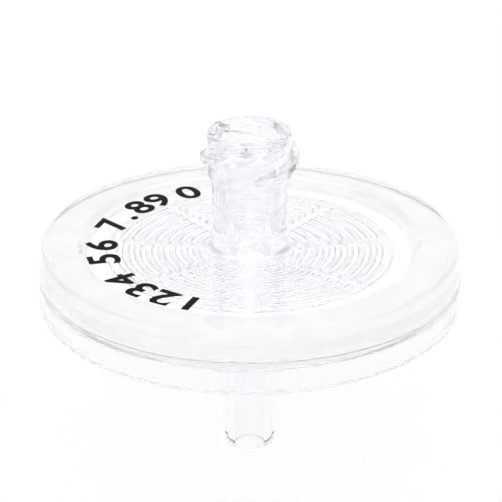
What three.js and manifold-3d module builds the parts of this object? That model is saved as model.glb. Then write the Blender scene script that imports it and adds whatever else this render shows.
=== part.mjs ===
// Disc syringe filter: a clear inlet housing and a clear outlet housing, welded
// round the edge of a flat white membrane.
//
// Units are millimetres. +Z runs up the flow axis, from the outlet to the inlet.
// The origin is the centre of the inlet's mouth, where the syringe is screwed on.

import * as THREE from "three";
import { mergeVertices } from "three/addons/utils/BufferGeometryUtils.js";
import Module from "manifold-3d";

const wasm = await Module();
wasm.setup();

// ---------------------------------------------------------------- driving sizes

// Inlet hub, a female luer lock
const HUB_RADIUS = 3.24;
const HUB_HEIGHT = 3.6;
const HUB_EDGE_ROUNDING = 0.12;
const LEAD_IN_WIDTH = 0.49; // the slope from the mouth's edge in to the bore
const LEAD_IN_DEPTH = 0.45;
const LUER_RADIUS = 2.15; // where the lead-in meets the tapered bore
const LUER_TAPER = 0.03; // radius lost for each millimetre of depth: a 6% taper
const LUER_DEPTH = 8;
const INLET_PORT_RADIUS = 1.2;

// Thread lugs round the hub: a right-hand double start
const LUG_HEIGHT = 0.56; // crest above the hub
const LUG_LEAD = 4; // rise in one full turn
const LUG_SWEEP = 1.37 * Math.PI;
const LUG_FIRST_DROP = 3.1; // mouth down to the middle of a lug's lower end
const LUG_ROOT_HEIGHT = 1.2;
const LUG_CREST_HEIGHT = 0.6;
const LUG_START_ANGLES_DEG = [-87.5, 92.5];
const LUG_LOWER_RUN_OUT = 0.3; // radians over which a lug's lower end sinks into the hub
const LUG_UPPER_RUN_OUT = 0.7; // the same for its upper end, under the rim
const LUG_RIM_GAP = 0.15; // a lug stops this far under the mouth
const LUG_ROOT_SINK = 0.3; // how deep a lug is rooted in the hub's wall

// Stem between the hub and the disc
const STEM_RADIUS = 2.93;
const STEM_FOOT_FILLET = 0.45;

// Disc
const DISC_RADIUS = 16.5; // at the weld line, its widest
const SIDE_DRAFT = 0.24; // the cover's side leans in this much, weld line to top
const COVER_EDGE_ROUNDING = 0.45;
const MOUTH_TO_DISC = 9.1; // inlet's mouth down to the cover's rim
const RIM_WIDTH = 3.05; // weld radius in to the lip of the cover's recess
const RECESS_DEPTH = 0.5;
const RECESS_SLOPE_WIDTH = 0.4;
const COVER_THICKNESS = 0.9;

// Tongue and groove joint between the housings, and the clamped membrane
const SKIRT_WALL = 1.15;
const JOINT_CLEARANCE = 0.3;
const TONGUE_WALL = 1.95;
const TONGUE_HEIGHT = 0.8; // weld line up to where the tongue meets its groove
const POCKET_DEPTH = 0.5; // tongue's top down to the membrane's seat
const CLAMP_WIDTH = 1.6; // band of membrane held between the housings
const MEMBRANE_THICKNESS = 0.2;

// Concentric ribs that hold the membrane off the two chamber walls
const RIB_HEIGHT = 0.4;
const RIB_WIDTH = 0.4;
const RIB_FIRST_RADIUS = 3.47; // inner edge of the inlet's smallest rib
const RIB_PITCH = 0.927;
const SUPPORT_RIB_FIRST_RADIUS = 2.6;
const SUPPORT_RIB_PITCH = 1.7;
const RIB_EDGE_GAP = 0.35; // least gap between the last rib and the clamp
const CHANNEL_WIDTH = 1.1;
const CHANNEL_ANGLES_DEG = [-90, -38, 8, 53, 90, 127, 172, 218];

// Outlet housing
const OUTLET_FLOOR_THICKNESS = 1.1;
const FLANGE_HEIGHT = 2.8; // weld line down to the foot of the outer wall
const FLANGE_WALL = 1.4;
const FLANGE_EDGE_ROUNDING = 0.35;

// Outlet, a male luer slip
const OUTLET_LENGTH = 12.7; // foot of the outer wall down to the tip
const OUTLET_TIP_RADIUS = 2;
const OUTLET_TIP_ROUNDING = 0.3;
const OUTLET_BORE_RADIUS = 1.1;
const OUTLET_ROOT_FILLET = 0.5;
const FUNNEL_RADIUS = 1.6;
const FUNNEL_DEPTH = 0.5;

// Facets of a full turn
const DISC_FACETS = 72;
const RIB_FACETS = 48;
const LUG_FACETS = 25; // along one lug
const CORNER_FACETS = 3;

// ------------------------------------------------------------- places worked out

const MOUTH_RADIUS = LUER_RADIUS + LEAD_IN_WIDTH;
const LUER_END_RADIUS = LUER_RADIUS - LUER_TAPER * (LUER_DEPTH - LEAD_IN_DEPTH);
const LUG_RADIUS = HUB_RADIUS + LUG_HEIGHT;

const COVER_TOP = -MOUTH_TO_DISC;
const RECESS_FLOOR = COVER_TOP - RECESS_DEPTH;
const CHAMBER_ROOF = RECESS_FLOOR - COVER_THICKNESS;
const MEMBRANE_TOP = CHAMBER_ROOF - RIB_HEIGHT;
const MEMBRANE_BOTTOM = MEMBRANE_TOP - MEMBRANE_THICKNESS;
const CHAMBER_FLOOR = MEMBRANE_BOTTOM - RIB_HEIGHT;
const TONGUE_TOP = MEMBRANE_BOTTOM + POCKET_DEPTH;
const WELD_LINE = TONGUE_TOP - TONGUE_HEIGHT;
const OUTLET_PLATE_BOTTOM = CHAMBER_FLOOR - OUTLET_FLOOR_THICKNESS;
const FLANGE_FOOT = WELD_LINE - FLANGE_HEIGHT;
const OUTLET_TIP = FLANGE_FOOT - OUTLET_LENGTH;

const COVER_TOP_RADIUS = DISC_RADIUS - SIDE_DRAFT;
const RECESS_LIP_RADIUS = DISC_RADIUS - RIM_WIDTH;
const SKIRT_INNER_RADIUS = DISC_RADIUS - SKIRT_WALL;
const TONGUE_OUTER_RADIUS = SKIRT_INNER_RADIUS - JOINT_CLEARANCE;
const POCKET_RADIUS = TONGUE_OUTER_RADIUS - TONGUE_WALL;
const MEMBRANE_RADIUS = POCKET_RADIUS - JOINT_CLEARANCE;
const CHAMBER_RADIUS = MEMBRANE_RADIUS - CLAMP_WIDTH;
const FLANGE_INNER_RADIUS = DISC_RADIUS - FLANGE_WALL;

// ------------------------------------------------------------------ shape helpers

// A closed geometry as a manifold-3d solid.
function solidFrom(geometry) {
  const bare = geometry.clone();
  bare.deleteAttribute("normal");
  bare.deleteAttribute("uv");
  const merged = mergeVertices(bare);
  const mesh = new wasm.Mesh({
    numProp: 3,
    vertProperties: new Float32Array(merged.attributes.position.array),
    triVerts: new Uint32Array(merged.index.array),
  });
  return new wasm.Manifold(mesh);
}

// A manifold-3d solid as a three.js geometry.
function geometryFrom(solid) {
  const mesh = solid.getMesh();
  const geometry = new THREE.BufferGeometry();
  geometry.setAttribute("position", new THREE.BufferAttribute(mesh.vertProperties, 3));
  geometry.setIndex(new THREE.BufferAttribute(mesh.triVerts, 1));
  geometry.computeVertexNormals();
  return geometry;
}

// Points of a quarter-circle corner in the radius-height plane, from one angle to
// another in degrees, both ends included.
function corner(centreRadius, centreHeight, size, fromDeg, toDeg) {
  const points = [];
  for (let i = 0; i <= CORNER_FACETS; i++) {
    const angle = THREE.MathUtils.degToRad(fromDeg + ((toDeg - fromDeg) * i) / CORNER_FACETS);
    points.push([
      centreRadius + size * Math.cos(angle),
      centreHeight + size * Math.sin(angle),
    ]);
  }
  return points;
}

// A ring turned round the Z axis from an outline of [radius, height] points, which
// runs clockwise: outwards along the top, down, and back inwards along the bottom.
function turned(outline) {
  const closed = [...outline, outline[0]].reverse();
  const points = closed.map(([radius, height]) => new THREE.Vector2(radius, height));
  return new THREE.LatheGeometry(points, DISC_FACETS).rotateX(Math.PI / 2);
}

// ------------------------------------------------------------------ flow ribs

// One stretch of a concentric rib, between two radial channels.
function ribStretch(innerRadius, fromAngle, toAngle) {
  const outerRadius = innerRadius + RIB_WIDTH;
  const cutAt = (radius) => Math.asin(CHANNEL_WIDTH / 2 / radius);
  const shape = new THREE.Shape();
  shape.absarc(0, 0, outerRadius, fromAngle + cutAt(outerRadius), toAngle - cutAt(outerRadius), false);
  shape.absarc(0, 0, innerRadius, toAngle - cutAt(innerRadius), fromAngle + cutAt(innerRadius), true);
  // An arc of a shape is drawn with twice as many facets as curveSegments.
  const facets = (RIB_FACETS * (toAngle - fromAngle)) / (2 * Math.PI);
  return new THREE.ExtrudeGeometry(shape, {
    depth: 2 * RIB_HEIGHT,
    curveSegments: Math.ceil(facets / 2),
    bevelEnabled: false,
  });
}

// Every rib of one chamber wall, from the first radius out to the clamp. The ribs
// stand half in the wall, so bottom is a rib height below the lower face.
function ribField(firstRadius, pitch, bottom) {
  const angles = CHANNEL_ANGLES_DEG.map(THREE.MathUtils.degToRad);
  const lastRadius = CHAMBER_RADIUS - RIB_EDGE_GAP - RIB_WIDTH;
  const stretches = [];
  for (let radius = firstRadius; radius <= lastRadius; radius += pitch) {
    angles.forEach((angle, i) => {
      const next = i + 1 < angles.length ? angles[i + 1] : angles[0] + 2 * Math.PI;
      stretches.push(solidFrom(ribStretch(radius, angle, next).translate(0, 0, bottom)));
    });
  }
  return wasm.Manifold.union(stretches);
}

// ------------------------------------------------------------------ thread lugs

// How far a lug has risen out of the hub, 0 at its ends and 1 over its length.
function lugRise(swept) {
  const lower = swept / LUG_LOWER_RUN_OUT;
  const upper = (LUG_SWEEP - swept) / LUG_UPPER_RUN_OUT;
  return Math.sin((Math.PI / 2) * Math.min(1, lower, upper));
}

// One lug: a straight ridge of trapezoid section, wrapped down round the hub from
// its upper end, which keeps the faces of the ridge pointing outwards.
function threadLug(startAngleDeg) {
  const root = LUG_ROOT_HEIGHT / 2;
  const crest = LUG_CREST_HEIGHT / 2;
  const section = new THREE.Shape([
    new THREE.Vector2(0, -root),
    new THREE.Vector2(1, -crest),
    new THREE.Vector2(1, crest),
    new THREE.Vector2(0, root),
  ]);
  const ridge = new THREE.ExtrudeGeometry(section, {
    depth: LUG_SWEEP,
    steps: LUG_FACETS,
    bevelEnabled: false,
  });
  const rootRadius = HUB_RADIUS - LUG_ROOT_SINK;
  const endRadius = HUB_RADIUS - LUG_ROOT_SINK / 2;
  const position = ridge.attributes.position;
  for (let i = 0; i < position.count; i++) {
    const swept = LUG_SWEEP - position.getZ(i);
    const rise = lugRise(swept);
    const crestRadius = THREE.MathUtils.lerp(endRadius, LUG_RADIUS, rise);
    const radius = THREE.MathUtils.lerp(rootRadius, crestRadius, position.getX(i));
    const middle = -LUG_FIRST_DROP + (LUG_LEAD * swept) / (2 * Math.PI);
    const height = middle + position.getY(i) * THREE.MathUtils.lerp(0.5, 1, rise);
    const angle = THREE.MathUtils.degToRad(startAngleDeg) + swept;
    position.setXYZ(
      i, radius * Math.cos(angle), radius * Math.sin(angle), Math.min(height, -LUG_RIM_GAP));
  }
  return ridge;
}

// ------------------------------------------------------------------ the pieces

function inletHousing() {
  const roundedMouth = corner(
    HUB_RADIUS - HUB_EDGE_ROUNDING, -HUB_EDGE_ROUNDING, HUB_EDGE_ROUNDING, 90, 0);
  const stemFoot = corner(
    STEM_RADIUS + STEM_FOOT_FILLET, RECESS_FLOOR + STEM_FOOT_FILLET, STEM_FOOT_FILLET, 180, 270);
  const roundedEdge = corner(
    COVER_TOP_RADIUS - COVER_EDGE_ROUNDING, COVER_TOP - COVER_EDGE_ROUNDING, COVER_EDGE_ROUNDING, 90, 0);
  const shell = turned([
    [MOUTH_RADIUS, 0],
    ...roundedMouth,
    [HUB_RADIUS, -HUB_HEIGHT],
    [STEM_RADIUS, -HUB_HEIGHT],
    ...stemFoot,
    [RECESS_LIP_RADIUS - RECESS_SLOPE_WIDTH, RECESS_FLOOR],
    [RECESS_LIP_RADIUS, COVER_TOP],
    ...roundedEdge,
    [DISC_RADIUS, WELD_LINE],
    [SKIRT_INNER_RADIUS, WELD_LINE],
    [SKIRT_INNER_RADIUS, TONGUE_TOP],
    [MEMBRANE_RADIUS, TONGUE_TOP],
    [MEMBRANE_RADIUS, MEMBRANE_TOP],
    [CHAMBER_RADIUS, MEMBRANE_TOP],
    [CHAMBER_RADIUS, CHAMBER_ROOF],
    [INLET_PORT_RADIUS, CHAMBER_ROOF],
    [INLET_PORT_RADIUS, -LUER_DEPTH],
    [LUER_END_RADIUS, -LUER_DEPTH],
    [LUER_RADIUS, -LEAD_IN_DEPTH],
  ]);
  const lugs = LUG_START_ANGLES_DEG.map((angle) => solidFrom(threadLug(angle)));
  const ribs = ribField(RIB_FIRST_RADIUS, RIB_PITCH, MEMBRANE_TOP);
  return geometryFrom(wasm.Manifold.union([solidFrom(shell), ribs, ...lugs]));
}

function outletHousing() {
  const roundedFoot = corner(
    DISC_RADIUS - FLANGE_EDGE_ROUNDING, FLANGE_FOOT + FLANGE_EDGE_ROUNDING, FLANGE_EDGE_ROUNDING, 0, -90);
  const rootRadius = OUTLET_TIP_RADIUS + LUER_TAPER * (OUTLET_PLATE_BOTTOM - OUTLET_TIP);
  const root = corner(
    rootRadius + OUTLET_ROOT_FILLET, OUTLET_PLATE_BOTTOM - OUTLET_ROOT_FILLET, OUTLET_ROOT_FILLET, 90, 180);
  const roundedTip = corner(
    OUTLET_TIP_RADIUS - OUTLET_TIP_ROUNDING, OUTLET_TIP + OUTLET_TIP_ROUNDING, OUTLET_TIP_ROUNDING, 0, -90);
  const shell = turned([
    [FUNNEL_RADIUS, CHAMBER_FLOOR],
    [CHAMBER_RADIUS, CHAMBER_FLOOR],
    [CHAMBER_RADIUS, MEMBRANE_BOTTOM],
    [POCKET_RADIUS, MEMBRANE_BOTTOM],
    [POCKET_RADIUS, TONGUE_TOP],
    [TONGUE_OUTER_RADIUS, TONGUE_TOP],
    [TONGUE_OUTER_RADIUS, WELD_LINE],
    [DISC_RADIUS, WELD_LINE],
    ...roundedFoot,
    [FLANGE_INNER_RADIUS, FLANGE_FOOT],
    [FLANGE_INNER_RADIUS, OUTLET_PLATE_BOTTOM],
    ...root,
    ...roundedTip,
    [OUTLET_BORE_RADIUS, OUTLET_TIP],
    [OUTLET_BORE_RADIUS, CHAMBER_FLOOR - FUNNEL_DEPTH],
  ]);
  const ribs = ribField(SUPPORT_RIB_FIRST_RADIUS, SUPPORT_RIB_PITCH, CHAMBER_FLOOR - RIB_HEIGHT);
  return geometryFrom(solidFrom(shell).add(ribs));
}

function membrane() {
  return new THREE.CylinderGeometry(MEMBRANE_RADIUS, MEMBRANE_RADIUS, MEMBRANE_THICKNESS, DISC_FACETS)
    .rotateX(Math.PI / 2)
    .translate(0, 0, (MEMBRANE_TOP + MEMBRANE_BOTTOM) / 2);
}

// ------------------------------------------------------------------ assembly

const clearPlastic = new THREE.MeshStandardMaterial({
  color: 0xf4f7f8,
  roughness: 0.08,
  metalness: 0,
  transparent: true,
  opacity: 0.35,
});
const whiteMembrane = new THREE.MeshStandardMaterial({
  color: 0xfbfbf9,
  roughness: 0.75,
  metalness: 0,
});

function piece(name, geometry, material) {
  const mesh = new THREE.Mesh(geometry, material);
  mesh.name = name;
  return mesh;
}

const filter = new THREE.Group();
filter.name = "syringe_filter";
filter.add(
  piece("inlet_housing", inletHousing(), clearPlastic),
  piece("membrane", membrane(), whiteMembrane),
  piece("outlet_housing", outletHousing(), clearPlastic),
);

export default filter;
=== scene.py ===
"""Looks of a disc syringe filter: two clear moulded housings round a white membrane.

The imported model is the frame. Each housing is turned again here as one fine closed
body, whose outer heights and radii come from the boxes of the nodes it replaces. Its
inner sizes are fields of its class. Sizes are in millimetres, and MM turns them to metres.
"""

import logging
import math
from dataclasses import dataclass
from enum import Enum

import bmesh
import bpy
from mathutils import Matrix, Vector


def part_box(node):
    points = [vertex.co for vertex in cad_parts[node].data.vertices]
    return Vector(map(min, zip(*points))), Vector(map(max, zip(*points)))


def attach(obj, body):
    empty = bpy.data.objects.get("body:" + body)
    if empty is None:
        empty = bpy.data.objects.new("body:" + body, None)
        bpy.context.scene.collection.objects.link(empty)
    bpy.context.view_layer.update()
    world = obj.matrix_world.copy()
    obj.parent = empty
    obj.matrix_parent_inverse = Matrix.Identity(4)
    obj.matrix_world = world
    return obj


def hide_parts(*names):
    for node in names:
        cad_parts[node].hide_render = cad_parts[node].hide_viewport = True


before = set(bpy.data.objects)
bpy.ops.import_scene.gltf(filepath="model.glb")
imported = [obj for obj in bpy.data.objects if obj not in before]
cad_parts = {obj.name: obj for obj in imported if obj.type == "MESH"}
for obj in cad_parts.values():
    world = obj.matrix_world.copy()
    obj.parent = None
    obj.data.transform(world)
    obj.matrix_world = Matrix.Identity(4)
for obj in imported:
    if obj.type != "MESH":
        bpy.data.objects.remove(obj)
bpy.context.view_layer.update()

MM = 0.001
MERGE_DISTANCE = 1e-7  # in metres: nearer points become one, and shorter edges go
SHARP_ANGLE_DEG = 30.0
BODY = "root"

log = logging.getLogger("syringe_filter")

Point = tuple[float, float]
Corner = tuple[float, float, float]
Span = tuple[float, float]


class Slot(Enum):
    """The record's material slots."""

    PLASTIC = "clear_plastic"
    MEMBRANE = "membrane_white"
    INK = "black_ink"


class Tool(Enum):
    """What a tool does to a body, as the Boolean modifier calls it."""

    JOIN = "UNION"
    CUT = "DIFFERENCE"


# ---------------------------------------------------------------- mesh helpers


def deselect_all() -> None:
    """Leaves nothing selected and nothing in edit mode."""
    if bpy.context.mode != "OBJECT":
        bpy.ops.object.mode_set(mode="OBJECT")
    bpy.ops.object.select_all(action="DESELECT")


def select_only(piece: bpy.types.Object) -> None:
    """Selects one piece and nothing else, and makes it the active one.

    Args:
        piece: The piece to select.
    """
    deselect_all()
    bpy.context.view_layer.objects.active = piece
    piece.select_set(True)


def joined(pieces: list[bpy.types.Object]) -> bpy.types.Object:
    """Joins pieces into the first of them.

    Args:
        pieces: The pieces to join.

    Returns:
        The first piece, which now holds them all.
    """
    deselect_all()
    for piece in pieces:
        piece.select_set(True)
    bpy.context.view_layer.objects.active = pieces[0]
    bpy.ops.object.join()
    return bpy.context.object


def copied_round(piece: bpy.types.Object, angles_deg: tuple[float, ...]) -> bpy.types.Object:
    """Copies a piece round the Z axis, one copy at each angle, and joins the copies.

    Args:
        piece: The piece to copy, which is removed.
        angles_deg: The angle of each copy, counted from the piece.

    Returns:
        The copies as one piece.
    """
    copies = []
    for angle in angles_deg:
        select_only(piece)
        bpy.ops.object.duplicate()
        copy = bpy.context.object
        copy.rotation_euler.z = math.radians(angle)
        bpy.ops.object.transform_apply(location=False, rotation=True, scale=False)
        copies.append(copy)
    bpy.data.objects.remove(piece)
    return joined(copies)


def rounded(corners: list[Corner], steps: int = 6) -> list[Point]:
    """Rounds the corners of a closed outline.

    Args:
        corners: Radius, height and rounding of each corner, in millimetres.
        steps: Straight stretches in each rounded corner.

    Returns:
        The points of the outline, in order, without a repeat of the first.
    """
    longest = 0.49  # share of a side that one corner's rounding may take
    points: list[Point] = []
    count = len(corners)
    for i, (x, z, size) in enumerate(corners):
        here = Vector((x, z))
        if size <= 0:
            points.append((x, z))
            continue
        before = Vector(corners[i - 1][:2]) - here
        after = Vector(corners[(i + 1) % count][:2]) - here
        turn = before.angle(after)
        reach = min(size / math.tan(turn / 2), longest * before.length, longest * after.length)
        radius = reach * math.tan(turn / 2)
        middle = (before.normalized() + after.normalized()).normalized()
        centre = here + middle * (radius / math.sin(turn / 2))
        start = here + before.normalized() * reach - centre
        sweep = math.pi - turn
        side = 1 if start.cross(here + after.normalized() * reach - centre) > 0 else -1
        for k in range(steps + 1):
            angle = side * sweep * k / steps
            c, s = math.cos(angle), math.sin(angle)
            points.append((
                centre.x + start.x * c - start.y * s,
                centre.y + start.x * s + start.y * c,
            ))
    return points


def start_outline(name: str, points: list[Point], closed: bool = True) -> bpy.types.Object:
    """Draws an outline in the XZ plane, as edges, and stays in edit mode.

    Args:
        name: The new object's name.
        points: X and Z of each point, in millimetres.
        closed: Whether the last point joins the first.

    Returns:
        The object, whose outline is selected.
    """
    deselect_all()
    bpy.ops.mesh.primitive_plane_add(size=MM, location=(0, 0, 0))
    made = bpy.context.object
    made.name = made.data.name = name
    bpy.ops.object.mode_set(mode="EDIT")
    bpy.ops.mesh.select_all(action="SELECT")
    bpy.ops.mesh.merge(type="CENTER")
    first = Vector((points[0][0], 0, points[0][1])) * MM
    bpy.ops.transform.translate(value=first)
    at = first
    for x, z in points[1:]:
        there = Vector((x, 0, z)) * MM
        bpy.ops.mesh.extrude_region_move(TRANSFORM_OT_translate={"value": there - at})
        at = there
    if closed:
        bpy.ops.mesh.extrude_region_move(TRANSFORM_OT_translate={"value": first - at})
    bpy.ops.mesh.select_all(action="SELECT")
    bpy.ops.mesh.remove_doubles(threshold=MERGE_DISTANCE)
    return made


def close_mesh() -> None:
    """Merges doubles, turns the faces outwards and leaves edit mode."""
    bpy.ops.mesh.select_all(action="SELECT")
    bpy.ops.mesh.remove_doubles(threshold=MERGE_DISTANCE)
    bpy.ops.mesh.normals_make_consistent(inside=False)
    bpy.ops.object.mode_set(mode="OBJECT")


def turned(name: str, points: list[Point], segments: int, closed: bool = True) -> bpy.types.Object:
    """Turns an outline once round the Z axis: an eighth is spun, and its copies are joined.

    Args:
        name: The new object's name.
        points: Radius and height of each point, in millimetres.
        segments: Segments of the full turn, a multiple of eight.
        closed: Whether the outline joins up; if not, it starts and ends on the axis.

    Returns:
        A closed object, in object mode.
    """
    shares = 8
    made = start_outline(name, points, closed)
    bpy.ops.mesh.spin(steps=segments // shares, angle=2 * math.pi / shares, center=(0, 0, 0),
                      axis=(0, 0, 1))
    bpy.ops.object.mode_set(mode="OBJECT")
    whole = copied_round(made, tuple(360 // shares * i for i in range(shares)))
    whole.name = whole.data.name = name
    bpy.ops.object.mode_set(mode="EDIT")
    close_mesh()
    return whole


def combine(base: bpy.types.Object, other: bpy.types.Object, tool: Tool) -> None:
    """Joins a second shape to a body or cuts it out, by an applied Boolean modifier.

    Args:
        base: The body that keeps the result.
        other: The second shape, which is removed.
        tool: Whether it is joined or cut out.
    """
    select_only(base)
    modifier = base.modifiers.new(tool.name.title(), "BOOLEAN")
    modifier.operation = tool.value
    modifier.solver = "MANIFOLD"
    modifier.object = other
    bpy.ops.object.modifier_apply(modifier=modifier.name)
    bpy.data.objects.remove(other)


def drop_slivers(piece: bpy.types.Object) -> None:
    """Dissolves the faces without area that a cut or a figure's corner leaves.

    Args:
        piece: The piece to clean.
    """
    select_only(piece)
    bpy.ops.object.mode_set(mode="EDIT")
    bpy.ops.mesh.select_all(action="SELECT")
    bpy.ops.mesh.dissolve_degenerate(threshold=MERGE_DISTANCE)
    bpy.ops.object.mode_set(mode="OBJECT")


def smooth(piece: bpy.types.Object) -> None:
    """Shades a piece smooth, apart from its sharp edges."""
    select_only(piece)
    bpy.ops.object.shade_smooth_by_angle(angle=math.radians(SHARP_ANGLE_DEG))


def hand_over(piece: bpy.types.Object, finish: bpy.types.Material, slot: Slot, *nodes: str) -> None:
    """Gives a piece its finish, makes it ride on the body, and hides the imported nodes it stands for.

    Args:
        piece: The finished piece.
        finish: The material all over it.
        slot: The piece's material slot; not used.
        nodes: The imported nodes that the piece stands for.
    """
    piece.data.materials.clear()
    piece.data.materials.append(finish)
    for face in piece.data.polygons:
        face.material_index = 0
    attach(piece, BODY)
    if nodes:
        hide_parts(*nodes)
    log.info("%s: %d faces", piece.name, len(piece.data.polygons))


def finish_ring(piece: bpy.types.Object, finish: bpy.types.Material, radii: Span, heights: Span) -> None:
    """Gives the faces inside a ring a finish of their own.

    Args:
        piece: A piece that has its main finish.
        finish: The ring's finish.
        radii: The ring's inner and outer radius, in millimetres.
        heights: Its lowest and highest height.
    """
    piece.data.materials.append(finish)
    for face in piece.data.polygons:
        at = face.center / MM
        if radii[0] < at.xy.length < radii[1] and heights[0] < at.z < heights[1]:
            face.material_index = len(piece.data.materials) - 1


# ---------------------------------------------------------------- materials


def linear(hex_colour: str) -> tuple[float, float, float, float]:
    """Turns an sRGB hex colour to linear light.

    Args:
        hex_colour: A hash sign and six hex digits.

    Returns:
        Red, green, blue and alpha from 0 to 1.
    """
    parts = [int(hex_colour[i:i + 2], 16) / 255 for i in (1, 3, 5)]
    lin = [p / 12.92 if p <= 0.04045 else ((p + 0.055) / 1.055) ** 2.4 for p in parts]
    return (*lin, 1.0)


def add_node(tree: bpy.types.NodeTree, kind: str, settings: dict | None = None,
             links: dict | None = None) -> bpy.types.Node:
    """Adds a node with its settings and links.

    Args:
        tree: The node tree.
        kind: The node's type, without ShaderNode.
        settings: Attributes, or input sockets by name or number, with their values.
        links: Input sockets by name or number, with the output socket that feeds each.

    Returns:
        The node.
    """
    node = tree.nodes.new("ShaderNode" + kind)
    for key, value in (settings or {}).items():
        if isinstance(key, str) and hasattr(node, key):
            setattr(node, key, value)
        else:
            node.inputs[key].default_value = value
    for key, source in (links or {}).items():
        tree.links.new(source, node.inputs[key])
    return node


def new_tree(name: str) -> tuple[bpy.types.Material, bpy.types.NodeTree]:
    """Makes an empty node material.

    Args:
        name: The material's name.

    Returns:
        The material and its node tree.
    """
    made = bpy.data.materials.new(name)
    made.use_nodes = True
    made.node_tree.nodes.clear()
    return made, made.node_tree


@dataclass(frozen=True)
class MouldedAcrylic:
    """Clear acrylic copolymer, injection moulded in finely finished steel.

    The surface has a soft gloss and a faint ripple, so the eye gets thin soft edges and few
    highlights. The copolymer is a trace milky, which softens what is seen through the disc
    and the hub. The milk fades out between two heights, so the thin-walled outlet tube
    below the disc is clear.
    """

    name: str = "clear_acrylic_copolymer_moulded"
    tint: str = "#fdfdfe"
    milk: str = "#fafbfd"
    ior: float = 1.49
    roughness: float = 0.07
    ripple_spacing: float = 3.0
    ripple_depth: float = 0.02
    ripple_strength: float = 0.02
    milk_share: float = 0.03
    milk_heights: Span = (-14.4, -13.9)

    def material(self) -> bpy.types.Material:
        """Builds the material.

        Returns:
            The material.
        """
        made, tree = new_tree(self.name)
        where = add_node(tree, "TexCoord")
        ripple = add_node(tree, "TexNoise", {"Scale": 1 / (self.ripple_spacing * MM), "Detail": 2.0},
                          {"Vector": where.outputs["Object"]})
        bump = add_node(tree, "Bump",
                        {"Strength": self.ripple_strength, "Distance": self.ripple_depth * MM},
                        {"Height": ripple.outputs["Fac"]})
        clear = add_node(
            tree, "BsdfPrincipled",
            {"Base Color": linear(self.tint), "IOR": self.ior, "Roughness": self.roughness,
             "Transmission Weight": 1.0},
            {"Normal": bump.outputs["Normal"]})
        up = add_node(tree, "SeparateXYZ", {}, {0: where.outputs["Object"]})
        low, high = self.milk_heights
        share = add_node(
            tree, "MapRange",
            {"From Min": low * MM, "From Max": high * MM, "To Min": 0.0, "To Max": self.milk_share},
            {"Value": up.outputs["Z"]})
        through = add_node(tree, "BsdfTranslucent", {"Color": linear(self.milk)})
        back = add_node(tree, "BsdfDiffuse", {"Color": linear(self.milk)})
        milky = add_node(tree, "MixShader", {0: 0.5}, {1: through.outputs[0], 2: back.outputs[0]})
        shader = add_node(tree, "MixShader", {},
                          {0: share.outputs[0], 1: clear.outputs[0], 2: milky.outputs[0]})
        add_node(tree, "OutputMaterial", {}, {"Surface": shader.outputs[0]})
        return made


@dataclass(frozen=True)
class WeldedAcrylic:
    """The same copolymer where ultrasonic welding melted the two halves into one.

    No air is left in the joint, so there is no bright inner edge: the frozen melt is milky, and
    it hides what lies behind it in the rim.
    """

    name: str = "clear_acrylic_copolymer_ultrasonic_weld"
    colour: str = "#ffffff"
    flow_spacing: float = 2.0
    flow_contrast: Span = (0.35, 0.65)
    haze: Span = (0.62, 0.66)

    def material(self) -> bpy.types.Material:
        """Builds the material.

        Returns:
            The material.
        """
        made, tree = new_tree(self.name)
        where = add_node(tree, "TexCoord")
        flow = add_node(tree, "TexNoise", {"Scale": 1 / (self.flow_spacing * MM), "Detail": 2.0},
                        {"Vector": where.outputs["Object"]})
        low, high = self.flow_contrast
        least, most = self.haze
        amount = add_node(
            tree, "MapRange", {"From Min": low, "From Max": high, "To Min": least, "To Max": most},
            {"Value": flow.outputs["Fac"]})
        clear = add_node(tree, "BsdfTransparent", {"Color": linear(self.colour)})
        through = add_node(tree, "BsdfTranslucent", {"Color": linear(self.colour)})
        back = add_node(tree, "BsdfDiffuse", {"Color": linear(self.colour)})
        haze = add_node(tree, "MixShader", {0: 0.5}, {1: through.outputs[0], 2: back.outputs[0]})
        shader = add_node(tree, "MixShader", {},
                          {0: amount.outputs[0], 1: clear.outputs[0], 2: haze.outputs[0]})
        add_node(tree, "OutputMaterial", {}, {"Surface": shader.outputs[0]})
        return made


@dataclass(frozen=True)
class WeldSlitPaintedShade:
    """Painted shade at the fine unfused slit round the weld's outer edge.

    The slit traps light, so it reads as a thin grey line between the two halves. A plain
    grey on a narrow ring of faces paints that shade in; the grey is not the copolymer's own.
    """

    name: str = "weld_slit_painted_shade"
    # painted shade: the grey of the line where the weld slit traps light
    colour: str = "#9a9ca4"
    flow_spacing: float = 1.5
    roughness: Span = (0.4, 0.6)

    def material(self) -> bpy.types.Material:
        """Builds the material.

        Returns:
            The material.
        """
        made, tree = new_tree(self.name)
        where = add_node(tree, "TexCoord")
        flow = add_node(tree, "TexNoise", {"Scale": 1 / (self.flow_spacing * MM), "Detail": 2.0},
                        {"Vector": where.outputs["Object"]})
        least, most = self.roughness
        rough = add_node(tree, "MapRange", {"To Min": least, "To Max": most},
                         {"Value": flow.outputs["Fac"]})
        shader = add_node(tree, "BsdfPrincipled", {"Base Color": linear(self.colour)},
                          {"Roughness": rough.outputs[0]})
        add_node(tree, "OutputMaterial", {}, {"Surface": shader.outputs[0]})
        return made


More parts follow.
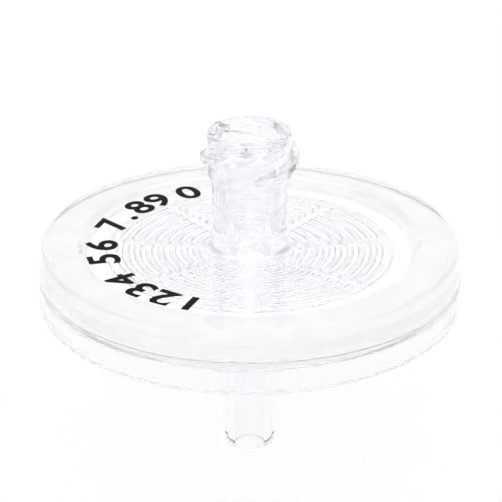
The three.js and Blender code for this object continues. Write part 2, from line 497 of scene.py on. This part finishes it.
@dataclass(frozen=True)
class CastMembrane:
    """White filter membrane, cast: fine pores scatter the light, so it is matt and even.

    The pores are under a thousandth of a millimetre, too fine to show, so the bump draws
    them as a grain of 0.15 mm.
    """

    name: str = "white_membrane_cast"
    colour: str = "#f8f8f8"
    roughness: float = 0.8
    grain_spacing: float = 0.15
    grain_depth: float = 0.02
    grain_strength: float = 0.1

    def material(self) -> bpy.types.Material:
        """Builds the material.

        Returns:
            The material.
        """
        made, tree = new_tree(self.name)
        where = add_node(tree, "TexCoord")
        grain = add_node(tree, "TexNoise", {"Scale": 1 / (self.grain_spacing * MM), "Detail": 4.0},
                         {"Vector": where.outputs["Object"]})
        bump = add_node(tree, "Bump", {"Strength": self.grain_strength, "Distance": self.grain_depth * MM},
                        {"Height": grain.outputs["Fac"]})
        shader = add_node(
            tree, "BsdfPrincipled", {"Base Color": linear(self.colour), "Roughness": self.roughness},
            {"Normal": bump.outputs["Normal"]})
        add_node(tree, "OutputMaterial", {}, {"Surface": shader.outputs[0]})
        return made


@dataclass(frozen=True)
class PadPrintInk:
    """Black ink, pad printed: a thin even film with a soft sheen."""

    name: str = "black_ink_pad_printed"
    colour: str = "#050507"
    roughness: float = 0.5
    specular: float = 0.05
    film_spacing: float = 0.2
    film_depth: float = 0.01
    film_strength: float = 0.15

    def material(self) -> bpy.types.Material:
        """Builds the material.

        Returns:
            The material.
        """
        made, tree = new_tree(self.name)
        where = add_node(tree, "TexCoord")
        film = add_node(tree, "TexNoise", {"Scale": 1 / (self.film_spacing * MM), "Detail": 3.0},
                        {"Vector": where.outputs["Object"]})
        bump = add_node(tree, "Bump", {"Strength": self.film_strength, "Distance": self.film_depth * MM},
                        {"Height": film.outputs["Fac"]})
        shader = add_node(
            tree, "BsdfPrincipled",
            {"Base Color": linear(self.colour), "Roughness": self.roughness,
             "Specular IOR Level": self.specular},
            {"Normal": bump.outputs["Normal"]})
        add_node(tree, "OutputMaterial", {}, {"Surface": shader.outputs[0]})
        return made


# ---------------------------------------------------------------- the pieces


@dataclass(frozen=True)
class Sizes:
    """Heights and radii that the pieces share, in millimetres.

    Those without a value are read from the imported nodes. The visual pieces stand off each
    other by the gap.
    """

    disc_radius: float
    mouth: float
    weld_line: float
    tongue_top: float
    membrane_top: float
    membrane_bottom: float
    membrane_radius: float
    tip: float
    gap: float = 0.02
    cover_above_weld: float = 2.3
    recess_depth: float = 0.5
    skirt_wall: float = 1.15
    clamp_width: float = 1.6
    chamber_depth: float = 0.4
    channel_stop: float = 0.3

    @property
    def cover_top(self) -> float:
        """Height of the cover's rim."""
        return self.weld_line + self.cover_above_weld

    @property
    def recess(self) -> float:
        """Height of the floor of the cover's recess."""
        return self.cover_top - self.recess_depth

    @property
    def roof(self) -> float:
        """Height of the upper chamber's wall."""
        return self.membrane_top + self.gap + self.chamber_depth

    @property
    def floor(self) -> float:
        """Height of the lower chamber's wall."""
        return self.membrane_bottom - self.gap - self.chamber_depth

    @property
    def chamber_radius(self) -> float:
        """Radius of both chambers, inside the clamp on the membrane's edge."""
        return self.membrane_radius - self.clamp_width

    @property
    def channel_reach(self) -> float:
        """Radius where the channels through the ribs end."""
        return self.chamber_radius - self.channel_stop

    @classmethod
    def from_frame(cls) -> "Sizes":
        """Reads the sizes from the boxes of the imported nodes.

        Returns:
            The sizes of this pack.
        """
        inlet_low, inlet_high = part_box("inlet_housing")
        outlet_low, outlet_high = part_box("outlet_housing")
        membrane_low, membrane_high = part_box("membrane")
        return cls(
            disc_radius=inlet_high.x / MM,
            mouth=inlet_high.z / MM,
            weld_line=inlet_low.z / MM,
            tongue_top=outlet_high.z / MM,
            membrane_top=membrane_high.z / MM,
            membrane_bottom=membrane_low.z / MM,
            membrane_radius=membrane_high.x / MM,
            tip=outlet_low.z / MM,
        )


@dataclass(frozen=True)
class Ribs:
    """Concentric ribs of one chamber wall, with the radial channels through them."""

    first_radius: float
    pitch: float
    count: int
    width: float = 0.4
    draft: float = 0.04
    rounding: float = 0.1
    channel_width: float = 1.1
    channel_angles_deg: tuple[float, ...] = (-90, -38, 8, 53, 90, 127, 172, 218)
    cut_past_wall: float = 0.01
    cut_past_membrane: float = 0.2

    def middles(self) -> list[float]:
        """Middle radius of each rib, smallest first."""
        return [self.first_radius + self.width / 2 + self.pitch * i for i in range(self.count)]

    def corners(self, wall: float, crest: float, inwards: bool = False) -> list[Corner]:
        """Corners of the ribs, in the order that an outline meets them.

        Args:
            wall: Height of the wall that the ribs stand on.
            crest: Height of their crests.
            inwards: Whether the outline comes from the outside.

        Returns:
            Four corners for each rib.
        """
        way = -1 if inwards else 1
        corners = []
        for radius in self.middles()[::way]:
            for side, height in ((-1, wall), (-1, crest), (1, crest), (1, wall)):
                half = self.width / 2 + (self.draft if height == wall else 0)
                corners.append((radius + way * side * half, height, self.rounding))
        return corners

    def cut_channels(self, body: bpy.types.Object, wall: float, membrane: float, reach: float) -> None:
        """Cuts the radial channels through the ribs of a body.

        Args:
            body: The housing.
            wall: Height of the wall that the ribs stand on.
            membrane: Height of the membrane's face, which the ribs point at.
            reach: Radius where the channels end.
        """
        way = 1 if wall > membrane else -1
        ends = (wall + way * self.cut_past_wall, membrane - way * self.cut_past_membrane)
        low, high = min(ends), max(ends)
        deselect_all()
        bpy.ops.mesh.primitive_cube_add(size=1, location=(0, 0, 0))
        cutter = bpy.context.object
        bpy.ops.object.mode_set(mode="EDIT")
        start = self.first_radius - self.width
        bpy.ops.transform.resize(
            value=((reach - start) * MM, self.channel_width * MM, (high - low) * MM),
            center_override=(0, 0, 0))
        bpy.ops.transform.translate(value=((reach + start) / 2 * MM, 0, (high + low) / 2 * MM))
        bpy.ops.object.mode_set(mode="OBJECT")
        combine(body, copied_round(cutter, self.channel_angles_deg), Tool.CUT)


@dataclass(frozen=True)
class InletRoundings:
    """Roundings of the inlet housing's corners."""

    mouth: float = 0.05
    hub_top: float = 0.2
    hub_foot: float = 0.1
    stem_top: float = 0.08
    stem_foot: float = 0.45
    recess_foot: float = 0.15
    recess_lip: float = 0.12
    rim: float = 0.45
    skirt_foot: float = 0.05
    clamp: float = 0.05
    chamber: float = 0.08
    roof: float = 0.1
    port: float = 0.08
    luer_end: float = 0.1
    luer: float = 0.15
    lug: float = 0.12


@dataclass
class InletHousing:
    """Luer-lock hub, stem, cover and skirt: one clear moulding."""

    sizes: Sizes
    finish: bpy.types.Material
    weld: bpy.types.Material
    shade: bpy.types.Material
    segments: int = 256
    # the weld slit: width of the ring of painted shade on the skirt's foot, where the outline gets a corner
    slit: float = 0.12
    hub_radius: float = 3.24
    hub_height: float = 3.6
    mouth_radius: float = 2.64
    lead_in_depth: float = 0.45
    luer_radius: float = 2.15
    luer_end_radius: float = 1.92
    luer_depth: float = 8.0
    port_radius: float = 1.2
    stem_radius: float = 2.93
    side_draft: float = 0.24
    recess_lip_radius: float = 13.45
    recess_slope: float = 0.4
    lug_radius: float = 3.8
    lug_lead: float = 4.0
    lug_sweep_deg: float = 246.6
    lug_first_drop: float = 3.1
    lug_root_height: float = 1.2
    lug_crest_height: float = 0.6
    lug_starts_deg: tuple[float, ...] = (-87.5, 92.5)
    lug_lower_run_out_deg: float = 17.0
    lug_upper_run_out_deg: float = 40.0
    lug_rim_gap: float = 0.15
    lug_sink: float = 0.3
    lug_steps: int = 72
    roundings: InletRoundings = InletRoundings()
    ribs: Ribs = Ribs(first_radius=3.47, pitch=0.927, count=8)

    def outline(self) -> list[Point]:
        """Outline of the turned body, clockwise from the mouth's inner edge.

        Returns:
            The outline's points, as radius and height.
        """
        s, r = self.sizes, self.roundings
        hub_foot = s.mouth - self.hub_height
        skirt_foot = s.weld_line + s.gap
        pocket_top = s.tongue_top + s.gap
        crest = s.membrane_top + s.gap
        skirt = s.disc_radius - s.skirt_wall
        luer_end = s.mouth - self.luer_depth
        return rounded([
            (self.mouth_radius, s.mouth, r.mouth),
            (self.hub_radius, s.mouth, r.hub_top),
            (self.hub_radius, hub_foot, r.hub_foot),
            (self.stem_radius, hub_foot, r.stem_top),
            (self.stem_radius, s.recess, r.stem_foot),
            (self.recess_lip_radius - self.recess_slope, s.recess, r.recess_foot),
            (self.recess_lip_radius, s.cover_top, r.recess_lip),
            (s.disc_radius - self.side_draft, s.cover_top, r.rim),
            (s.disc_radius, skirt_foot, r.skirt_foot),
            (s.disc_radius - self.slit, skirt_foot, 0),
            (skirt, skirt_foot, 0),
            (skirt, pocket_top, 0),
            (s.membrane_radius, pocket_top, 0),
            (s.membrane_radius, crest, r.clamp),
            (s.chamber_radius, crest, r.chamber),
            (s.chamber_radius, s.roof, r.roof),
            *self.ribs.corners(s.roof, crest, inwards=True),
            (self.port_radius, s.roof, r.roof),
            (self.port_radius, luer_end, r.port),
            (self.luer_end_radius, luer_end, r.luer_end),
            (self.luer_radius, s.mouth - self.lead_in_depth, r.luer),
        ])

    def lug(self) -> bpy.types.Object:
        """One thread lug, swept up round the hub from angle zero.

        Returns:
            The lug.
        """
        root = self.hub_radius - self.lug_sink
        section = rounded([
            (root, -self.lug_root_height / 2, 0),
            (self.lug_radius, -self.lug_crest_height / 2, self.roundings.lug),
            (self.lug_radius, self.lug_crest_height / 2, self.roundings.lug),
            (root, self.lug_root_height / 2, 0),
        ], steps=4)
        made = start_outline("thread_lug", section)
        bpy.ops.mesh.edge_face_add()
        start = self.sizes.mouth - self.lug_first_drop
        bpy.ops.transform.translate(value=(0, 0, start * MM))
        step_deg = self.lug_sweep_deg / self.lug_steps
        rise = self.lug_lead * step_deg / 360
        shares = [self.lug_share(i * step_deg) for i in range(self.lug_steps + 1)]
        bpy.ops.transform.resize(value=(shares[0],) * 3, center_override=(root * MM, 0, start * MM))
        for i in range(1, self.lug_steps + 1):
            bpy.ops.mesh.extrude_region_move(TRANSFORM_OT_translate={"value": (0, 0, rise * MM)})
            bpy.ops.transform.rotate(value=-math.radians(step_deg), orient_axis="Z",
                                     center_override=(0, 0, 0))
            angle = math.radians(i * step_deg)
            foot = (root * MM * math.cos(angle), root * MM * math.sin(angle), (start + rise * i) * MM)
            bpy.ops.transform.resize(value=(shares[i] / shares[i - 1],) * 3, center_override=foot)
        bpy.ops.mesh.select_all(action="SELECT")
        bpy.ops.mesh.normals_make_consistent(inside=False)
        self.trim_at_mouth(made)
        bpy.ops.object.mode_set(mode="OBJECT")
        return made

    def lug_share(self, swept_deg: float) -> float:
        """Share of its full section that a lug has after an angle from its lower end.

        Args:
            swept_deg: The angle from its lower end.

        Returns:
            1 along the lug, less over its run-outs, and least at its ends, where it lies
            half its root's depth under the hub's face.
        """
        lower = swept_deg / self.lug_lower_run_out_deg
        upper = (self.lug_sweep_deg - swept_deg) / self.lug_upper_run_out_deg
        rise = math.sin(math.pi / 2 * max(0, min(1, lower, upper)))
        least = self.lug_sink / 2 / (self.lug_radius - self.hub_radius + self.lug_sink)
        return least + (1 - least) * rise

    def trim_at_mouth(self, lug: bpy.types.Object) -> None:
        """Presses what stands above the mouth's rim gap flat.

        Args:
            lug: The lug, in edit mode.
        """
        limit = (self.sizes.mouth - self.lug_rim_gap) * MM
        bpy.ops.mesh.select_all(action="DESELECT")
        mesh = bmesh.from_edit_mesh(lug.data)
        for vertex in mesh.verts:
            vertex.select_set(vertex.co.z > limit)
        mesh.select_flush_mode()
        bmesh.update_edit_mesh(lug.data)
        bpy.ops.transform.resize(value=(1, 1, 0), center_override=(0, 0, limit))

    def build(self) -> bpy.types.Object:
        """Builds the housing.

        Returns:
            The finished piece.
        """
        s = self.sizes
        body = turned("inlet_housing_moulding", self.outline(), self.segments)
        self.ribs.cut_channels(body, s.roof, s.membrane_top, s.channel_reach)
        combine(body, copied_round(self.lug(), self.lug_starts_deg), Tool.JOIN)
        smooth(body)
        hand_over(body, self.finish, Slot.PLASTIC, "inlet_housing")
        margin = s.gap / 2
        slit = s.disc_radius - self.slit
        finish_ring(body, self.weld, (s.membrane_radius - margin, slit),
                    (s.weld_line, s.tongue_top + s.gap + margin))
        # painted shade: a grey ring on the skirt's foot stands for the dark line of the weld slit
        finish_ring(body, self.shade, (slit, s.disc_radius - self.roundings.skirt_foot),
                    (s.weld_line, s.weld_line + s.gap + margin))
        return body


@dataclass(frozen=True)
class OutletRoundings:
    """Roundings of the outlet housing's corners."""

    chamber: float = 0.08
    floor: float = 0.1
    flange_top: float = 0.12
    foot_outside: float = 0.35
    foot_inside: float = 0.15
    flange_root: float = 0.3
    tube_root: float = 0.5
    tip: float = 0.3
    bore: float = 0.1


@dataclass
class OutletHousing:
    """Tongue, floor, flange and tapered outlet: one clear moulding."""

    sizes: Sizes
    finish: bpy.types.Material
    weld: bpy.types.Material
    segments: int = 256
    clearance: float = 0.3
    tongue_wall: float = 1.95
    floor_thickness: float = 1.1
    flange_height: float = 2.8
    flange_wall: float = 1.4
    tip_radius: float = 2.0
    taper: float = 0.03
    bore_radius: float = 1.1
    funnel_radius: float = 1.6
    funnel_depth: float = 0.5
    roundings: OutletRoundings = OutletRoundings()
    ribs: Ribs = Ribs(first_radius=2.6, pitch=1.7, count=5)

    def outline(self) -> list[Point]:
        """Outline of the turned body, clockwise from the funnel's edge.

        Returns:
            The outline's points, as radius and height.
        """
        s, r = self.sizes, self.roundings
        seat = s.membrane_bottom - s.gap
        plate = s.floor - self.floor_thickness
        foot = s.weld_line - self.flange_height
        tongue_top = s.tongue_top - s.gap
        flange_top = s.weld_line - s.gap
        tongue = s.disc_radius - s.skirt_wall - self.clearance
        pocket = tongue - self.tongue_wall
        flange = s.disc_radius - self.flange_wall
        tube_root = self.tip_radius + self.taper * (plate - s.tip)
        return rounded([
            (self.funnel_radius, s.floor, r.floor),
            *self.ribs.corners(s.floor, seat),
            (s.chamber_radius, s.floor, r.floor),
            (s.chamber_radius, seat, r.chamber),
            (pocket, seat, 0),
            (pocket, tongue_top, 0),
            (tongue, tongue_top, 0),
            (tongue, flange_top, 0),
            (s.disc_radius, flange_top, r.flange_top),
            (s.disc_radius, foot, r.foot_outside),
            (flange, foot, r.foot_inside),
            (flange, plate, r.flange_root),
            (tube_root, plate, r.tube_root),
            (self.tip_radius, s.tip, r.tip),
            (self.bore_radius, s.tip, r.bore),
            (self.bore_radius, s.floor - self.funnel_depth, r.bore),
        ])

    def build(self) -> bpy.types.Object:
        """Builds the housing.

        Returns:
            The finished piece.
        """
        s = self.sizes
        body = turned("outlet_housing_moulding", self.outline(), self.segments)
        self.ribs.cut_channels(body, s.floor, s.membrane_bottom, s.channel_reach)
        drop_slivers(body)
        smooth(body)
        hand_over(body, self.finish, Slot.PLASTIC, "outlet_housing")
        margin = s.gap / 2
        finish_ring(body, self.weld, (s.membrane_radius + margin, s.disc_radius - self.roundings.flange_top),
                    (s.weld_line - s.gap - margin, s.tongue_top))
        return body


@dataclass
class Membrane:
    """The filter's membrane, a thin white disc."""

    sizes: Sizes
    finish: bpy.types.Material
    segments: int = 192
    edge_rounding: float = 0.05

    def build(self) -> bpy.types.Object:
        """Builds the disc.

        Returns:
            The finished piece.
        """
        s = self.sizes
        outline = rounded([
            (0, s.membrane_bottom, 0),
            (s.membrane_radius, s.membrane_bottom, self.edge_rounding),
            (s.membrane_radius, s.membrane_top, self.edge_rounding),
            (0, s.membrane_top, 0),
        ], steps=3)
        body = turned("membrane_disc", outline, self.segments, closed=False)
        smooth(body)
        hand_over(body, self.finish, Slot.MEMBRANE, "membrane")
        return body


@dataclass(frozen=True)
class NumberGroup:
    """Figures that follow each other clockwise: the first one's angle, and their step."""

    text: str
    first_deg: float
    step_deg: float = 11.5


@dataclass
class CoverNumbers:
    """Plain numbers printed in black ink round the left of the cover's recess."""

    sizes: Sizes
    finish: bpy.types.Material
    radius: float = 11.6
    height: float = 2.4
    height_share: float = 0.7  # a figure's height in the font, as a share of the font's size
    stroke_gain: float = 0.022
    small_eyed: str = "4"
    strike_step: float = 0.016
    widening: float = 1.15
    ink_thickness: float = 0.03
    lift: float = 0.004
    groups: tuple[NumberGroup, ...] = (
        NumberGroup("1234", 247.5, 11.2),
        NumberGroup("56", 193.8, 13.0),
        NumberGroup("7.89", 161.0, 10.2),
        NumberGroup("0", 116.0),
    )

    def strike(self, text: str, gain: float, shift: Point = (0.0, 0.0)) -> bpy.types.Object:
        """One figure in the font's own proportions, flat at the origin.

        Args:
            text: The figure.
            gain: How much its outline grows, as a share of its size.
            shift: How far it stands off the origin, as shares of its size.

        Returns:
            A closed mesh.
        """
        deselect_all()
        bpy.ops.object.text_add(location=(0, 0, 0))
        made = bpy.context.object
        made.data.body = text
        made.data.align_x = "CENTER"
        made.data.size = self.height * MM / self.height_share
        made.data.offset = gain * made.data.size
        made.data.offset_x, made.data.offset_y = (part * made.data.size for part in shift)
        made.data.extrude = self.ink_thickness / 2 * MM
        bpy.ops.object.convert(target="MESH")
        bpy.ops.object.mode_set(mode="EDIT")
        close_mesh()
        return bpy.context.object

    def four_strikes(self, text: str) -> bpy.types.Object:
        """A figure thickened by four strikes, because a growing outline would close its eye.

        Args:
            text: The figure.

        Returns:
            The figure, lying at the origin.
        """
        step = self.strike_step
        first, *others = (self.strike(text, 0.0, (x, y)) for x in (-step, step) for y in (-step, step))
        for other in others:
            combine(first, other, Tool.JOIN)
        return first

    def figure(self, text: str, angle_deg: float) -> bpy.types.Object:
        """One printed figure, its foot towards the middle of the cover.

        Args:
            text: The figure.
            angle_deg: Its place round the cover.

        Returns:
            The figure in its place.
        """
        if text in self.small_eyed:
            made = self.four_strikes(text)
        else:
            made = self.strike(text, self.stroke_gain)
        select_only(made)
        height = self.sizes.recess + self.lift + self.ink_thickness / 2
        foot = self.radius - self.height / 2
        angle = math.radians(angle_deg)
        made.location = Vector((foot * math.cos(angle), foot * math.sin(angle), height)) * MM
        made.rotation_euler.z = angle - math.pi / 2
        made.scale.x = self.widening
        bpy.ops.object.transform_apply(location=True, rotation=True, scale=True)
        return made

    def build(self) -> bpy.types.Object:
        """Builds all the figures as one piece.

        They cast no soft shadow on the membrane and stay out of what the stem refracts,
        where copies this small would read as dirt.

        Returns:
            The finished piece.
        """
        body = joined([
            self.figure(text, group.first_deg - group.step_deg * i)
            for group in self.groups for i, text in enumerate(group.text)
        ])
        body.name = body.data.name = "cover_numbers"
        bpy.ops.object.mode_set(mode="EDIT")
        close_mesh()
        drop_slivers(body)
        body.visible_diffuse = False
        body.visible_transmission = False
        hand_over(body, self.finish, Slot.INK)
        return body


# ---------------------------------------------------------------- the set


@dataclass
class Studio:
    """Floor, world and camera.

    The softbox starts between two heights above level, in degrees. The wall and the card
    fade out between two angles to the left and right of their middle.
    """

    sizes: Sizes
    lens: float = 159.5
    sensor: float = 36.0
    elevation_deg: float = 24.5
    distance: float = 174.0
    aim_height: float = -10.0
    shift: Span = (0.0026, -0.0034)
    view_range: Span = (10.0, 10000.0)
    white: float = 1.0
    overhead: float = 1.5
    overhead_from_deg: Span = (38.0, 50.0)
    room: float = 0.4
    room_tint: str = "#f0f2fe"
    wall_reach_deg: Span = (32.0, 50.0)
    card: float = 1.0
    card_reach_deg: Span = (50.0, 70.0)
    floor_side: float = 2000.0
    floor_paper: str = "#f7f7f7"
    floor_white: float = 0.92  # share of plain white in the floor as seen; the rest takes shadow
    clear_bounces: int = 64
    glossy_bounces: int = 32
    diffuse_bounces: int = 12

    def floor(self) -> bpy.types.Object:
        """A plain pale floor at the outlet's tip.

        Returns:
            The floor.
        """
        deselect_all()
        bpy.ops.mesh.primitive_plane_add(size=self.floor_side * MM, location=(0, 0, self.sizes.tip * MM))
        made = bpy.context.object
        made.name = "floor"
        bpy.ops.object.transform_apply(location=True, rotation=False, scale=False)
        material, tree = new_tree("floor_paper")
        path = add_node(tree, "LightPath")
        seen = add_node(tree, "Math", {"operation": "MAXIMUM"},
                        {0: path.outputs["Is Camera Ray"], 1: path.outputs["Is Glossy Ray"]})
        seen = add_node(tree, "Math", {"operation": "MAXIMUM"},
                        {0: seen.outputs[0], 1: path.outputs["Is Transmission Ray"]})
        share = add_node(tree, "Math", {"operation": "MULTIPLY", 1: self.floor_white},
                         {0: seen.outputs[0]})
        paper = add_node(tree, "BsdfDiffuse", {"Color": linear(self.floor_paper)})
        glow = add_node(tree, "Emission", {"Strength": self.white})
        shader = add_node(tree, "MixShader", {},
                          {0: share.outputs[0], 1: paper.outputs[0], 2: glow.outputs[0]})
        add_node(tree, "OutputMaterial", {}, {"Surface": shader.outputs[0]})
        made.data.materials.append(material)
        return made

    def world(self) -> None:
        """A softbox overhead, a white wall behind and a white card in front, in a dim room.

        The wall and the card light the clear edges from behind and from the camera's side,
        and the dim room at the left and right draws them as thin grey lines.
        """
        made = bpy.data.worlds.new("studio")
        bpy.context.scene.world = made
        made.use_nodes = True
        tree = made.node_tree
        tree.nodes.clear()
        where = add_node(tree, "TexCoord")
        up = add_node(tree, "SeparateXYZ", {}, {0: where.outputs["Generated"]})
        low, high = (math.sin(math.radians(a)) for a in self.overhead_from_deg)
        softbox = add_node(
            tree, "MapRange",
            {"interpolation_type": "SMOOTHSTEP", "From Min": low, "From Max": high,
             "To Min": self.room, "To Max": self.overhead},
            {"Value": up.outputs["Z"]})
        below = add_node(
            tree, "MapRange",
            {"interpolation_type": "SMOOTHSTEP", "From Min": low, "From Max": high,
             "To Min": 1.0, "To Max": 0.0},
            {"Value": up.outputs["Z"]})
        around = self.wall_and_card(tree, where)
        white = add_node(tree, "Math", {"operation": "MULTIPLY"},
                         {0: around.outputs[0], 1: below.outputs[0]})
        tone = add_node(tree, "Mix", {"data_type": "FLOAT", "B": self.white},
                        {"Factor": white.outputs[0], "A": softbox.outputs[0]})
        path = add_node(tree, "LightPath")
        seen = add_node(tree, "Mix", {"data_type": "FLOAT", "B": self.white},
                        {"Factor": path.outputs["Is Camera Ray"], "A": tone.outputs[0]})
        lit = add_node(tree, "MapRange", {"From Min": self.room, "From Max": self.white},
                       {"Value": seen.outputs[0]})
        colour_a, colour_b = 6, 7  # the numbers of the Mix node's two colour sockets
        tint = add_node(
            tree, "Mix",
            {"data_type": "RGBA", colour_a: linear(self.room_tint), colour_b: (1, 1, 1, 1)},
            {0: lit.outputs[0]})
        glow = add_node(tree, "Background", {}, {"Color": tint.outputs[2], "Strength": seen.outputs[0]})
        add_node(tree, "OutputWorld", {}, {"Surface": glow.outputs[0]})

    def wall_and_card(self, tree: bpy.types.NodeTree, where: bpy.types.Node) -> bpy.types.Node:
        """The white wall behind the part and the white card in front, round the horizon.

        Args:
            tree: The world's node tree.
            where: Its Texture Coordinate node.

        Returns:
            A node that gives 0 in the dim room and up to 1 at the wall and the card.
        """
        flat = add_node(tree, "VectorMath", {"operation": "MULTIPLY", 1: (1, 1, 0)},
                        {0: where.outputs["Generated"]})
        level = add_node(tree, "VectorMath", {"operation": "NORMALIZE"}, {0: flat.outputs["Vector"]})
        facing = add_node(tree, "VectorMath", {"operation": "DOT_PRODUCT", 1: (0, 1, 0)},
                          {0: level.outputs["Vector"]})
        inner, outer = (math.cos(math.radians(a)) for a in self.wall_reach_deg)
        wall = add_node(
            tree, "MapRange",
            {"interpolation_type": "SMOOTHSTEP", "From Min": outer, "From Max": inner},
            {"Value": facing.outputs["Value"]})
        inner, outer = (-math.cos(math.radians(a)) for a in self.card_reach_deg)
        card = add_node(
            tree, "MapRange",
            {"interpolation_type": "SMOOTHSTEP", "From Min": inner, "From Max": outer,
             "To Min": self.card, "To Max": 0.0},
            {"Value": facing.outputs["Value"]})
        return add_node(tree, "Math", {"operation": "ADD"}, {0: wall.outputs[0], 1: card.outputs[0]})

    def camera(self) -> None:
        """The camera, aimed at the part's axis and framed by a small shift."""
        data = bpy.data.cameras.new("camera")
        data.lens = self.lens
        data.sensor_width = self.sensor
        data.shift_x, data.shift_y = self.shift
        data.clip_start, data.clip_end = (reach * MM for reach in self.view_range)
        made = bpy.data.objects.new("camera", data)
        bpy.context.scene.collection.objects.link(made)
        elevation = math.radians(self.elevation_deg)
        back = Vector((0, -math.cos(elevation), math.sin(elevation)))
        made.location = (Vector((0, 0, self.aim_height)) + back * self.distance) * MM
        made.rotation_mode = "QUATERNION"
        made.rotation_quaternion = (-back).to_track_quat("-Z", "Y")
        bpy.context.scene.camera = made

    def build(self) -> None:
        """Builds the set, and lets light through all the clear walls without blurring it."""
        self.camera()
        self.world()
        self.floor()
        scene = bpy.context.scene
        scene.view_settings.view_transform = "Standard"
        scene.cycles.max_bounces = self.clear_bounces
        scene.cycles.transmission_bounces = self.clear_bounces
        scene.cycles.glossy_bounces = self.glossy_bounces
        scene.cycles.diffuse_bounces = self.diffuse_bounces
        scene.cycles.blur_glossy = 0.0


def main() -> None:
    """Builds the filter and its set."""
    logging.basicConfig(level=logging.INFO, format="%(message)s")
    sizes = Sizes.from_frame()
    acrylic = MouldedAcrylic().material()
    weld = WeldedAcrylic().material()
    Studio(sizes).build()
    # the weld slit's finish is painted shade, a plain grey
    InletHousing(sizes, acrylic, weld, WeldSlitPaintedShade().material()).build()
    OutletHousing(sizes, acrylic, weld).build()
    Membrane(sizes, CastMembrane().material()).build()
    CoverNumbers(sizes, PadPrintInk().material()).build()


if __name__ == "__main__":
    main()
